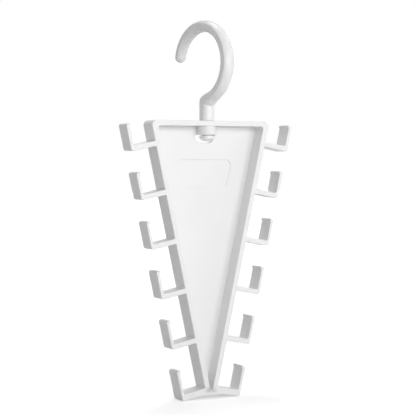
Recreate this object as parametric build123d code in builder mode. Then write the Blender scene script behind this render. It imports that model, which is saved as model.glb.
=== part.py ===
from build123d import *
import math
import os

# Tie hanger: a moulded tray with six tie hooks down each side, carried by a hook that swivels.
# Millimetres. Z is up, X runs across the tray and the open face of the tray looks towards -Y.
# The origin is on the swivel axis, level with the inside top of the hook, where the rod bears.

# Rod hook, seen in its own plane
rod_seat_radius = 23.5
hook_thickness = 9.0
hook_width = 10.3
hook_tip_thickness = 7.8
hook_tip_width = 8.7
hook_crown_rise = 2.3
hook_inside_rise = 3.1
hook_side_taper = 0.3
hook_overhang = 4.5
hook_tip_deg = 167.2
hook_full_deg = 105.0
hook_arc_end_deg = 61.6
hook_turn_deg = 77.8
bend_crown_deg = 82.0
stem_diameter = 11.4
stem_length = 14.3

# Swivel joint
neck_diameter = 8.0
swivel_clearance = 0.08
shoulder_gap = 0.1
head_gap = 0.6
head_diameter = 11.6
head_rim_height = 1.5
head_height = 4.1
boss_diameter = 14.6
boss_height = 6.6

# Tray
tray_half_width = 50.4
tray_foot_half_width = 4.66
tray_depth = 15.9
wall = 4.1
web_thickness = 4.2
tray_corner_radius = 3.8
pocket_corner_radius = 2.2
pocket_apex_radius = 0.9

# Tie hooks
rows = 6
first_row_drop = 19.3
row_pitch = 36.2
row_pitch_growth = 0.6
arm_length = 20.4
arm_droop_deg = 11.4
arm_thickness = 3.9
upright_thickness = 2.3
upright_rise = 16.0
upright_rise_growth = 0.4
tie_hook_depth = 14.3
elbow_radius = 1.9
inner_elbow_radius = 1.2
tip_radius = 1.6
lip_overhang = 0.8
lip_height = 1.5
root_radius = 0.7
foot_drop = 1.2
foot_arch_rise = 3.4

# Web details
window_width = 16.8
window_height = 5.8
window_corner_radius = 5.0
label_drop = 29.4
label_height = 21.0
label_half_width = 23.5
label_corner_radius = 4.2
label_depth = 0.5

# Edge finish
edge_break = 0.5
cut_overrun = 2.0


def lean(angle_deg, length):
    """Step along an edge that stands at angle_deg from upright, outwards and up."""
    return length * math.sin(math.radians(angle_deg)), length * math.cos(math.radians(angle_deg))


# Rod hook, drawn in its own upright plane: u leads away from the tip, v is up
turn = math.radians(hook_turn_deg)
hook_plane = Plane(
    origin=(0, 0, 0),
    x_dir=(math.cos(turn), -math.sin(turn), 0),
    z_dir=(-math.sin(turn), -math.cos(turn), 0),
)
ring_radius = rod_seat_radius + hook_thickness / 2
ring_centre = (-hook_overhang, -math.sqrt(rod_seat_radius**2 - hook_overhang**2))
stem_radius = stem_diameter / 2

# The straight run below the ring meets the swivel axis at the bend, from which the stem hangs upright
run_heading_deg = -hook_arc_end_deg - 90
run_heading = math.radians(run_heading_deg)
run_start = (
    ring_centre[0] - ring_radius * math.sin(run_heading),
    ring_centre[1] + ring_radius * math.cos(run_heading),
)
run_length = -run_start[0] / math.cos(run_heading)
bend_z = run_start[1] + run_length * math.sin(run_heading)

# Levels and widths of the tray
rim_top_z = bend_z - stem_length - shoulder_gap
rim_under_z = rim_top_z - wall
boss_under_z = rim_under_z - boss_height
row_drops = [
    first_row_drop + row * row_pitch + row * (row - 1) / 2 * row_pitch_growth
    for row in range(rows)
]
row_z = [rim_top_z - drop for drop in row_drops]
lean_slope = (tray_half_width - tray_foot_half_width) / row_drops[-1]
wall_lean_deg = math.degrees(math.atan(lean_slope))
front_plane = Plane.XZ.offset(tray_depth / 2)
back_plane = Plane.XZ.offset(-tray_depth / 2)
web_face_plane = Plane.XZ.offset(web_thickness - tray_depth / 2)


def outer_half_width(z):
    """Half width of the tray over its walls at height z."""
    return tray_half_width - (rim_top_z - z) * lean_slope


def inner_half_width(z):
    """Half width of the pocket at height z."""
    return outer_half_width(z) - wall / math.cos(math.radians(wall_lean_deg))


def arm_point(row, along, above):
    """Point on the right arm of a row: along its underside from the wall, then square above it."""
    droop = math.radians(arm_droop_deg)
    x = outer_half_width(row_z[row]) + along * math.cos(droop) + above * math.sin(droop)
    z = row_z[row] - along * math.sin(droop) + above * math.cos(droop)
    return x, z


def upright_point(row, inwards, up):
    """Point on the right upright of a row: inwards from its outer face, then up from the elbow."""
    elbow_x, elbow_z = arm_point(row, arm_length, 0)
    out_x, up_z = lean(wall_lean_deg, up)
    across = math.radians(wall_lean_deg)
    return elbow_x + out_x - inwards * math.cos(across), elbow_z + up_z + inwards * math.sin(across)


def upright_length(row):
    """Length of the outer face of an upright, from the elbow to the tip."""
    rise = upright_rise + row * upright_rise_growth
    below = arm_length * math.sin(math.radians(arm_droop_deg))
    return (rise + below) / math.cos(math.radians(wall_lean_deg))


def inner_elbow(row):
    """Corner between the top of the arm and the inner face of the upright."""
    start_x, start_z = arm_point(row, 0, arm_thickness)
    foot_x, foot_z = upright_point(row, upright_thickness, 0)
    arm_x, arm_z = math.cos(math.radians(arm_droop_deg)), -math.sin(math.radians(arm_droop_deg))
    up_x, up_z = lean(wall_lean_deg, 1)
    reach = ((foot_x - start_x) * up_z - (foot_z - start_z) * up_x) / (arm_x * up_z - arm_z * up_x)
    return start_x + reach * arm_x, start_z + reach * arm_z


def tie_hook_outline(row):
    """Corners of one right tie hook, from the root under the wall round to the root above it."""
    top = upright_length(row)
    lip_in = upright_thickness + lip_overhang
    return [
        arm_point(row, -wall / 2, 0),
        arm_point(row, arm_length, 0),
        upright_point(row, 0, top),
        upright_point(row, lip_in, top),
        upright_point(row, lip_in, top - lip_height),
        upright_point(row, upright_thickness, top - lip_height - lip_overhang),
        inner_elbow(row),
        arm_point(row, -wall / 2, arm_thickness),
    ]


def corners_at(sketch, points):
    """Corners of a flat outline that lie at the given points of its plane."""
    return ShapeList(sketch.vertices().sort_by_distance(Vector(x, z))[0] for x, z in points)


def root_corners(row):
    """Corners where a right arm leaves the wall: under it, except at the foot, and above it."""
    above = arm_thickness * math.tan(math.radians(wall_lean_deg - arm_droop_deg))
    over = arm_point(row, above, arm_thickness)
    if row == rows - 1:
        return [over]
    return [arm_point(row, 0, 0), over]


def edges_along_depth(part, points):
    """Edges that run front to back through the given places of the elevation, on both sides."""
    candidates = part.edges().filter_by(Axis.Y)
    found = ShapeList()
    for x, z in points:
        for side in (-x, x):
            by_gap = candidates.sort_by(
                lambda edge: math.hypot(edge.center().X - side, edge.center().Z - z)
            )
            found.append(by_gap[0])
    return found


# Foot: the lowest pair of arms is one bar with an arched underside
last = rows - 1
foot_side = upright_point(last, 0, arm_thickness / 2)
foot_corner = upright_point(last, 0, -foot_drop)
foot_crown = (0, foot_corner[1] + foot_arch_rise)
foot_top = arm_point(last, 0, arm_thickness)
pocket_apex_z = rim_top_z - (tray_half_width - wall / math.cos(math.radians(wall_lean_deg))) / lean_slope

# Label recess, with its sides parallel to the walls
label_top_z = rim_top_z - label_drop
label_foot_z = label_top_z - label_height
label_foot_half_width = label_half_width - label_height * lean_slope

with BuildPart() as hanger_body:
    # Tray: one thick plate with rounded top corners
    with BuildSketch(back_plane):
        with BuildLine():
            Polyline(
                (-tray_half_width, rim_top_z),
                (tray_half_width, rim_top_z),
                (outer_half_width(row_z[last]), row_z[last]),
                (-outer_half_width(row_z[last]), row_z[last]),
                close=True,
            )
        make_face()
    extrude(amount=tray_depth)
    fillet(hanger_body.edges().filter_by(Axis.Y).group_by(Axis.Z)[-1], tray_corner_radius)

    # Tie hooks down both sides, flush with the front of the rim
    for row in range(rows):
        outline = tie_hook_outline(row)
        with BuildSketch(front_plane) as tie_hook:
            with BuildLine():
                Polyline(*outline, close=True)
            make_face()
            fillet(corners_at(tie_hook, outline[1:2]), elbow_radius)
            fillet(corners_at(tie_hook, outline[2:3]), tip_radius)
            fillet(corners_at(tie_hook, outline[6:7]), inner_elbow_radius)
            mirror(about=Plane.YZ)
        extrude(amount=-tie_hook_depth)

    # Foot: the arched underside between the two lowest elbows
    with BuildSketch(front_plane) as foot:
        with BuildLine():
            ThreePointArc((-foot_corner[0], foot_corner[1]), foot_crown, foot_corner)
            Polyline(
                foot_corner,
                foot_side,
                foot_top,
                (-foot_top[0], foot_top[1]),
                (-foot_side[0], foot_side[1]),
                (-foot_corner[0], foot_corner[1]),
            )
        make_face()
        fillet(foot.vertices().group_by(Axis.Y)[0], elbow_radius)
    extrude(amount=-tie_hook_depth)

    # Small round where each arm leaves the wall
    for row in range(rows):
        fillet(edges_along_depth(hanger_body, root_corners(row)), root_radius)

    # Pocket, open to the front
    with BuildSketch(web_face_plane) as pocket:
        with BuildLine():
            Polyline(
                (-inner_half_width(rim_under_z), rim_under_z),
                (inner_half_width(rim_under_z), rim_under_z),
                (0, pocket_apex_z),
                close=True,
            )
        make_face()
        fillet(pocket.vertices().group_by(Axis.Y)[-1], pocket_corner_radius)
        fillet(pocket.vertices().group_by(Axis.Y)[0], pocket_apex_radius)
    extrude(amount=tray_depth, mode=Mode.SUBTRACT)

    # Broken edge round the mouth of the pocket
    chamfer(hanger_body.faces().sort_by(Axis.Y)[0].inner_wires()[0].edges(), edge_break)

    # Swivel boss under the top rim, run into the web behind it
    with BuildSketch(Plane.XY.offset(boss_under_z)):
        Circle(boss_diameter / 2)
    extrude(amount=boss_height + wall / 2)

    # Window through the web round the swivel's head
    with BuildSketch(back_plane) as window:
        with Locations((0, boss_under_z - window_height / 2)):
            Rectangle(window_width, window_height)
        fillet(window.vertices().group_by(Axis.Y)[0], window_corner_radius)
    extrude(amount=web_thickness + cut_overrun, mode=Mode.SUBTRACT)

    # Label recess in the web: bare
    with BuildSketch(web_face_plane) as label:
        with BuildLine():
            Polyline(
                (-label_half_width, label_top_z),
                (label_half_width, label_top_z),
                (label_foot_half_width, label_foot_z),
                (-label_foot_half_width, label_foot_z),
                close=True,
            )
        make_face()
        fillet(label.vertices(), label_corner_radius)
    extrude(amount=-label_depth, mode=Mode.SUBTRACT)

    # Bore of the swivel, down through the rim and the boss
    with BuildSketch(Plane.XY.offset(boss_under_z)):
        Circle(neck_diameter / 2 + swivel_clearance)
    extrude(amount=boss_height + wall, mode=Mode.SUBTRACT)
hanger_body.part.label = "hanger_body"


def section_plane(u, v, heading_deg):
    """Plane square to the hook's centre line, with its x axis towards the outside of the ring."""
    heading = math.radians(heading_deg)
    return Plane(
        origin=hook_plane.from_local_coords((u, v, 0)),
        x_dir=hook_plane.from_local_coords((-math.sin(heading), math.cos(heading), 0)),
        z_dir=hook_plane.from_local_coords((math.cos(heading), math.sin(heading), 0)),
    )


def section_outline(half_thick, top_x, top_y, foot_x, foot_y):
    """Closed section: a crowned outer face, straight sides and a rounded inside."""
    ThreePointArc((top_x, -top_y), (half_thick, 0), (top_x, top_y))
    Line((top_x, top_y), (foot_x, foot_y))
    ThreePointArc((foot_x, foot_y), (-half_thick, 0), (foot_x, -foot_y))
    Line((foot_x, -foot_y), (top_x, -top_y))


def hook_outline(thickness, width):
    """Outline of the hook's own section, for its thickness and width at one place."""
    half = thickness / 2
    top_y = width / 2 - hook_side_taper
    section_outline(half, half - hook_crown_rise, top_y, hook_inside_rise - half, width / 2)


def ring_plane(angle_deg):
    """Section plane on the ring, at an angle about its centre."""
    angle = math.radians(angle_deg)
    u = ring_centre[0] + ring_radius * math.cos(angle)
    v = ring_centre[1] + ring_radius * math.sin(angle)
    return section_plane(u, v, angle_deg - 90)


tip_plane = ring_plane(hook_tip_deg)
full_plane = ring_plane(hook_full_deg)
run_plane = section_plane(*run_start, run_heading_deg)
bend_plane = section_plane(0, bend_z, run_heading_deg)
bend_axis = Axis(bend_plane.origin, hook_plane.z_dir)
ring_axis = Axis(hook_plane.from_local_coords((*ring_centre, 0)), -hook_plane.z_dir)
crown_x, crown_y = lean(90 - bend_crown_deg, stem_radius)
head_top_z = boss_under_z - head_gap
head_foot_z = head_top_z - head_height
dome_depth = head_height - head_rim_height
dome_radius = ((head_diameter / 2) ** 2 + dome_depth**2) / (2 * dome_depth)

with BuildPart() as swivel_hook:
    # Front of the ring, which gains size from the tip towards the crest
    with BuildLine(hook_plane) as ring_front:
        CenterArc(ring_centre, ring_radius, hook_tip_deg, hook_full_deg - hook_tip_deg)
    with BuildSketch(tip_plane):
        with BuildLine():
            hook_outline(hook_tip_thickness, hook_tip_width)
        make_face()
    with BuildSketch(full_plane):
        with BuildLine():
            hook_outline(hook_thickness, hook_width)
        make_face()
    sweep(path=ring_front.line, multisection=True)

    # Rest of the ring, over the rod and round to the straight run
    with BuildSketch(full_plane):
        with BuildLine():
            hook_outline(hook_thickness, hook_width)
        make_face()
    revolve(axis=ring_axis, revolution_arc=hook_full_deg + hook_arc_end_deg)

    # Rounded tip: half of the section turned half round
    with BuildSketch(tip_plane):
        with BuildLine():
            hook_outline(hook_tip_thickness, hook_tip_width)
        make_face()
        split(bisect_by=Plane.XZ)
    revolve(axis=Axis(tip_plane.origin, tip_plane.x_dir), revolution_arc=180)

    # Straight run, on which the section turns round
    with BuildSketch(run_plane):
        with BuildLine():
            hook_outline(hook_thickness, hook_width)
        make_face()
    with BuildSketch(bend_plane):
        with BuildLine():
            section_outline(stem_radius, crown_x, crown_y, -crown_x, crown_y)
        make_face()
    loft(ruled=True)

    # Ball of the bend: the outer half of the run's end turned into line with the stem
    with BuildSketch(bend_plane):
        Circle(stem_radius)
        split(bisect_by=Plane.YZ, keep=Keep.BOTTOM)
    revolve(axis=bend_axis, revolution_arc=hook_arc_end_deg)

    # Stem, swivel neck and domed head
    with BuildSketch(Plane.XZ):
        with BuildLine():
            Polyline(
                (0, head_foot_z),
                (0, bend_z),
                (stem_radius, bend_z),
                (stem_radius, rim_top_z + shoulder_gap),
                (neck_diameter / 2, rim_top_z + shoulder_gap),
                (neck_diameter / 2, head_top_z),
                (head_diameter / 2, head_top_z),
                (head_diameter / 2, head_top_z - head_rim_height),
            )
            RadiusArc(
                (head_diameter / 2, head_top_z - head_rim_height), (0, head_foot_z), dome_radius
            )
        make_face()
    revolve(axis=Axis.Z)
swivel_hook.part.label = "swivel_hook"


os.makedirs("parts", exist_ok=True)
for piece in (hanger_body, swivel_hook):
    export_step(piece.part, f"parts/{piece.part.label}.step")
    print(piece.part.label, round(piece.part.volume), "mm3", len(piece.part.faces()), "faces")
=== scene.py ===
"""Looks of the tie hanger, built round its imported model.

The tray with its tie hooks and the swivelling rod hook are each modelled again with rounded
edges and moulding detail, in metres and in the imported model's own frame.
"""

import logging
import math
from dataclasses import dataclass, replace
from enum import Enum
from typing import Sequence

import bmesh
import bpy
from mathutils import Matrix, Vector


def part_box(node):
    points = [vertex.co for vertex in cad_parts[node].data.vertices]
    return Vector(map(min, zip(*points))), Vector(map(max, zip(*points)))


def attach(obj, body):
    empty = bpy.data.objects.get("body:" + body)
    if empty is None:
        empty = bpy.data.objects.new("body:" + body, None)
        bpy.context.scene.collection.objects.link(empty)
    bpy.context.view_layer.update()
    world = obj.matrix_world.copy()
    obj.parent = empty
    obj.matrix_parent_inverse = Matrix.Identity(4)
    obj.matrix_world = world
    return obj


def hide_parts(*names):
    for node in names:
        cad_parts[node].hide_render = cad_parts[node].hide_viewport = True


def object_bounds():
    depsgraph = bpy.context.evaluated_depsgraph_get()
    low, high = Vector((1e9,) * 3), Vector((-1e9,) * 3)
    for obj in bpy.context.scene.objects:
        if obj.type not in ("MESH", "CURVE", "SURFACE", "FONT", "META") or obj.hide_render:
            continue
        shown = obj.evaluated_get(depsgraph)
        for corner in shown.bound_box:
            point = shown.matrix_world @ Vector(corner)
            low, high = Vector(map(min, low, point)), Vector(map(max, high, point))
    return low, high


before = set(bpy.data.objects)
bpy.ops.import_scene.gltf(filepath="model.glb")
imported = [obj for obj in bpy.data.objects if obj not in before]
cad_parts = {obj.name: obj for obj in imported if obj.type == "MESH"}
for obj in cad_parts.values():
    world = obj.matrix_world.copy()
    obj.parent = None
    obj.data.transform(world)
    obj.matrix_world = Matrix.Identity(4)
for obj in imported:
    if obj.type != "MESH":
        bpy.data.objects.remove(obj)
cad_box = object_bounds()

logging.basicConfig(level=logging.INFO, format="%(message)s")
log = logging.getLogger("tie_hanger")

MM = 0.001
OVERRUN = 1.0 * MM
MERGE_DISTANCE = 0.002 * MM
SMALLEST_RADIUS = 0.0001 * MM
SMOOTH_ANGLE = math.radians(32)
FILLET_STEPS = 8
EDGE_STEPS = 4
CROWN_STEPS = 16
INSIDE_STEPS = 20
RING_STEPS = 110
TIP_STEPS = 24
RUN_STEPS = 14
BEND_STEPS = 16
DOME_STEPS = 14
ARCH_STEPS = 24
BOSS_SIDES = 72
BORE_SIDES = 64

Point2 = tuple[float, float]
Station = tuple[float, float]
Socket = bpy.types.NodeSocket
Input = float | Socket


class Operation(Enum):
    """How a tool body changes the body it meets."""

    JOIN = "UNION"
    CUT = "DIFFERENCE"


@dataclass(frozen=True)
class Corner:
    """Corner of a flat outline, rounded by an arc of some radius.

    Args:
        x: Place across.
        z: Height.
        radius: Radius of the round, or zero for a sharp corner.
        steps: Number of edges that the round is drawn with.
    """

    x: float
    z: float
    radius: float = 0.0
    steps: int = 0


def rounded(point: Point2, radius: float) -> Corner:
    """Returns a corner at a point with a round of the usual fineness."""
    return Corner(point[0], point[1], radius, FILLET_STEPS)


def sharp(point: Point2) -> Corner:
    """Returns a sharp corner at a point."""
    return Corner(point[0], point[1])


@dataclass(frozen=True)
class Outline:
    """Closed outline in an upright plane, as corners in anticlockwise order.

    Args:
        corners: The corners, each with its own round.
    """

    corners: tuple[Corner, ...]

    def sides(self, index: int) -> tuple[Vector, Vector]:
        """Finds the directions of the edges that meet at a corner.

        Args:
            index: Which corner.

        Returns:
            The unit directions of the edge before it and of the edge after it.
        """
        count = len(self.corners)
        before, here, after = (self.corners[(index + step) % count] for step in (-1, 0, 1))
        arriving = Vector((here.x - before.x, here.z - before.z)).normalized()
        leaving = Vector((after.x - here.x, after.z - here.z)).normalized()
        return arriving, leaving

    def inset(self, distance: float) -> "Outline":
        """Moves every edge inwards by the same distance, or outwards where it is negative.

        Args:
            distance: How far the edges move.

        Returns:
            The moved outline, with as many points as this one.
        """
        moved = []
        for index, corner in enumerate(self.corners):
            arriving, leaving = self.sides(index)
            normal_in = Vector((-arriving.y, arriving.x))
            normal_out = Vector((-leaving.y, leaving.x))
            shift = (normal_in + normal_out) * (distance / (1 + normal_in.dot(normal_out)))
            turn = arriving.x * leaving.y - arriving.y * leaving.x
            change = -distance if turn > 0 else distance
            radius = max(corner.radius + change, 0.0) if corner.steps else 0.0
            moved.append(replace(corner, x=corner.x + shift.x, z=corner.z + shift.y, radius=radius))
        return Outline(tuple(moved))

    def loop(self) -> list[Point2]:
        """Draws the outline.

        Returns:
            Its points in order, one for a sharp corner and one more than its steps for a round one.
        """
        points: list[Point2] = []
        for index, corner in enumerate(self.corners):
            arriving, leaving = self.sides(index)
            turn = math.atan2(
                arriving.x * leaving.y - arriving.y * leaving.x, arriving.dot(leaving)
            )
            side = math.copysign(1.0, turn)
            setback = corner.radius * math.tan(abs(turn) / 2)
            start = Vector((corner.x, corner.z)) - arriving * setback
            centre = start + Vector((-arriving.y, arriving.x)) * (corner.radius * side)
            for step in range(corner.steps + 1):
                angle = turn * step / max(corner.steps, 1)
                spoke = start - centre
                points.append(
                    (
                        centre.x + spoke.x * math.cos(angle) - spoke.y * math.sin(angle),
                        centre.y + spoke.x * math.sin(angle) + spoke.y * math.cos(angle),
                    )
                )
        return points


def quarter_round(radius: float) -> list[Station]:
    """Lists the places on a quarter round between a face and the side next to it.

    Args:
        radius: Radius of the edge.

    Returns:
        Pairs of inset and depth, from the face to the side.
    """
    angles = [math.pi / 2 * step / EDGE_STEPS for step in range(EDGE_STEPS + 1)]
    return [(radius * (1 - math.sin(angle)), radius * (1 - math.cos(angle))) for angle in angles]


def trapezium(foot: Point2, top: Point2, foot_radius: float, top_radius: float) -> Outline:
    """Draws a four-sided outline that is alike on both sides of the middle.

    Args:
        foot: Its right foot.
        top: Its right top corner.
        foot_radius: Radius of both corners at the foot, or zero where they are sharp.
        top_radius: Radius of both corners at the top, or zero where they are sharp.

    Returns:
        The outline, from its left foot.
    """
    feet = [((side * foot[0], foot[1]), foot_radius) for side in (-1, 1)]
    tops = [((side * top[0], top[1]), top_radius) for side in (1, -1)]
    return Outline(
        tuple(rounded(point, radius) if radius else sharp(point) for point, radius in feet + tops)
    )


def far_edge_stations(face_y: float, edge: float) -> list[Station]:
    """Lists the rings of a rounded edge round a face that looks along +Y.

    Args:
        face_y: Place of the face.
        edge: Radius of the edge.

    Returns:
        Pairs of inset and place along Y, from the side to the face.
    """
    return [(inset, face_y - depth) for inset, depth in reversed(quarter_round(edge))]


def plate_stations(front_y: float, back_y: float, edge: float) -> list[Station]:
    """Lists the rings of a plate with rounded edges on both faces.

    Args:
        front_y: Place of the front face.
        back_y: Place of the back face.
        edge: Radius of the edges.

    Returns:
        Pairs of inset and place along Y, from front to back.
    """
    front = [(inset, front_y + depth) for inset, depth in quarter_round(edge)]
    return front + far_edge_stations(back_y, edge)


def mouth_stations(mouth_y: float, edge: float) -> list[Station]:
    """Lists the rings of a cutting tool round the mouth of an opening, which it rounds.

    Args:
        mouth_y: Place of the face that the opening starts in.
        edge: Radius of the edge round the mouth.

    Returns:
        Pairs of inset and place along Y, from in front of the mouth into the opening.
    """
    mouth = [(-inset, mouth_y + depth) for inset, depth in quarter_round(edge)]
    return [(-edge, mouth_y - OVERRUN), *mouth]


def opening_stations(near_y: float, far_y: float, edge: float) -> list[Station]:
    """Lists the rings of a tool that cuts right through, with both mouths rounded.

    Args:
        near_y: Place of the face that the tool enters by.
        far_y: Place of the face that it leaves by, further along +Y.
        edge: Radius of the edges round both mouths.

    Returns:
        Pairs of inset and place along Y, from one end of the tool to the other.
    """
    near = mouth_stations(near_y, edge)
    return near + [(inset, near_y + far_y - y) for inset, y in reversed(near)]


def recess_stations(mouth_y: float, floor_y: float, edge: float, fillet: float) -> list[Station]:
    """Lists the rings of a tool that cuts a recess with a rounded mouth and a filleted floor.

    Args:
        mouth_y: Place of the face that the recess opens in.
        floor_y: Place of the floor, further along +Y.
        edge: Radius of the edge round the mouth.
        fillet: Radius of the fillet round the floor.

    Returns:
        Pairs of inset and place along Y, from in front of the mouth to the floor.
    """
    return mouth_stations(mouth_y, edge) + far_edge_stations(floor_y, fillet)


def compass(heading: float) -> tuple[Vector, Vector]:
    """Returns the unit direction of a heading in a plane, and the one to its left."""
    way = Vector((math.cos(heading), math.sin(heading)))
    return way, Vector((-way.y, way.x))


def arc_over(reach: float, level: float, crest: float, steps: int) -> list[Point2]:
    """Draws an arc that rises from a level to a crest and falls back, mirrored about the middle.

    Args:
        reach: Place of its start across, and the negative of its end's.
        level: Height of both ends.
        crest: Height of its middle.
        steps: Number of edges.

    Returns:
        The points from the start to the end.
    """
    rise = crest - level
    radius = (reach**2 + rise**2) / (2 * rise)
    spread = math.asin(reach / radius)
    angles = [spread * (1 - 2 * step / steps) for step in range(steps + 1)]
    return [(radius * math.sin(a), crest - radius * (1 - math.cos(a))) for a in angles]


def add_skin(
    work: bmesh.types.BMesh, rings: Sequence[Sequence[bmesh.types.BMVert]], closed: bool
) -> None:
    """Adds the faces between neighbouring rings or strips of points.

    Args:
        work: The mesh that gets the faces.
        rings: Rings or strips, all with the same count, which may share points.
        closed: Whether each ring closes on itself.
    """
    for near, far in zip(rings, rings[1:]):
        for index in range(len(near) if closed else len(near) - 1):
            follow = (index + 1) % len(near)
            corners = (near[index], near[follow], far[follow], far[index])
            work.faces.new(tuple(dict.fromkeys(corners)))


def linked(name: str, data: bpy.types.ID) -> bpy.types.Object:
    """Makes an object in the scene.

    Args:
        name: Name of the object.
        data: Its mesh, curve, light or camera.

    Returns:
        The object, at the origin.
    """
    made = bpy.data.objects.new(name, data)
    bpy.context.scene.collection.objects.link(made)
    return made


def piece_from(work: bmesh.types.BMesh, name: str) -> bpy.types.Object:
    """Makes a piece of a mesh under work: merges its doubles and turns its faces outwards.

    Args:
        work: The mesh, which is used up.
        name: Name of the piece.

    Returns:
        The piece.
    """
    bmesh.ops.remove_doubles(work, verts=work.verts, dist=MERGE_DISTANCE)
    bmesh.ops.recalc_face_normals(work, faces=work.faces)
    mesh = bpy.data.meshes.new(name)
    work.to_mesh(mesh)
    work.free()
    return linked(name, mesh)


def solid_from_rings(name: str, rings: Sequence[Sequence[Vector]]) -> bpy.types.Object:
    """Skins a row of closed rings and closes both ends.

    Args:
        name: Name of the piece.
        rings: Rings of points, all with the same count.

    Returns:
        The piece, with its faces outwards.
    """
    work = bmesh.new()
    drawn = [[work.verts.new(point) for point in ring] for ring in rings]
    add_skin(work, drawn, closed=True)
    work.faces.new(drawn[0])
    work.faces.new(drawn[-1])
    return piece_from(work, name)


def stacked(name: str, outline: Outline, stations: Sequence[Station]) -> bpy.types.Object:
    """Makes a solid from one outline repeated along Y.

    Args:
        name: Name of the piece.
        outline: The outline of the elevation.
        stations: Inset and place along Y of each ring.

    Returns:
        The solid.
    """
    rings = [[Vector((x, y, z)) for x, z in outline.inset(inset).loop()] for inset, y in stations]
    return solid_from_rings(name, rings)


def turned(name: str, profile: Sequence[Point2], sides: int) -> bpy.types.Object:
    """Makes a solid of revolution about the swivel's axis.

    Args:
        name: Name of the piece.
        profile: Radius and height of each ring.
        sides: Number of sides that a ring is drawn with.

    Returns:
        The solid.
    """
    angles = [math.tau * side / sides for side in range(sides)]
    rings = [
        [Vector((radius * math.cos(a), radius * math.sin(a), z)) for a in angles]
        for radius, z in profile
    ]
    return solid_from_rings(name, rings)


def poly_curve(name: str, points: Sequence[Vector], cyclic: bool = True) -> bpy.types.Object:
    """Makes a curve of straight runs.

    Args:
        name: Name of the curve.
        points: Its points.
        cyclic: Whether it closes on itself.

    Returns:
        The curve object.
    """
    curve = bpy.data.curves.new(name, "CURVE")
    curve.dimensions = "3D"
    spline = curve.splines.new("POLY")
    spline.points.add(len(points) - 1)
    for index, point in enumerate(points):
        spline.points[index].co = (*point, 1.0)
    spline.use_cyclic_u = cyclic
    return linked(name, curve)


def take_mesh(piece: bpy.types.Object) -> None:
    """Replaces a piece's mesh by what its modifiers make of it, and removes them.

    Args:
        piece: The piece to finish.
    """
    graph = bpy.context.evaluated_depsgraph_get()
    mesh = bpy.data.meshes.new_from_object(
        piece.evaluated_get(graph), preserve_all_data_layers=True, depsgraph=graph
    )
    mesh.name = piece.name
    piece.modifiers.clear()
    piece.data = mesh


def combine(body: bpy.types.Object, tool: bpy.types.Object, operation: Operation) -> None:
    """Joins a tool to a body or cuts it out of it, and removes the tool.

    Args:
        body: The solid that is kept.
        tool: The solid that is used up.
        operation: Whether the tool is joined or cut out.
    """
    modifier = body.modifiers.new("combine", "BOOLEAN")
    modifier.operation = operation.value
    modifier.solver = "EXACT"
    modifier.object = tool
    take_mesh(body)
    bpy.data.objects.remove(tool)


def shade(piece: bpy.types.Object) -> None:
    """Smooths the rounds of a piece and keeps its flats flat.

    Args:
        piece: The piece to shade.
    """
    work = bmesh.new()
    work.from_mesh(piece.data)
    bmesh.ops.remove_doubles(work, verts=work.verts, dist=MERGE_DISTANCE)
    bmesh.ops.dissolve_degenerate(work, edges=work.edges, dist=MERGE_DISTANCE)
    for face in work.faces:
        face.smooth = True
    work.to_mesh(piece.data)
    work.free()
    piece.data.set_sharp_from_angle(angle=SMOOTH_ANGLE)
    weighted = piece.modifiers.new("weighted", "WEIGHTED_NORMAL")
    weighted.keep_sharp = True
    take_mesh(piece)


def dress(piece: bpy.types.Object, material: bpy.types.Material) -> None:
    """Gives a piece one material all over.

    Args:
        piece: The piece.
        material: Its material.
    """
    piece.data.materials.clear()
    piece.data.materials.append(material)
    for face in piece.data.polygons:
        face.material_index = 0


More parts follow.
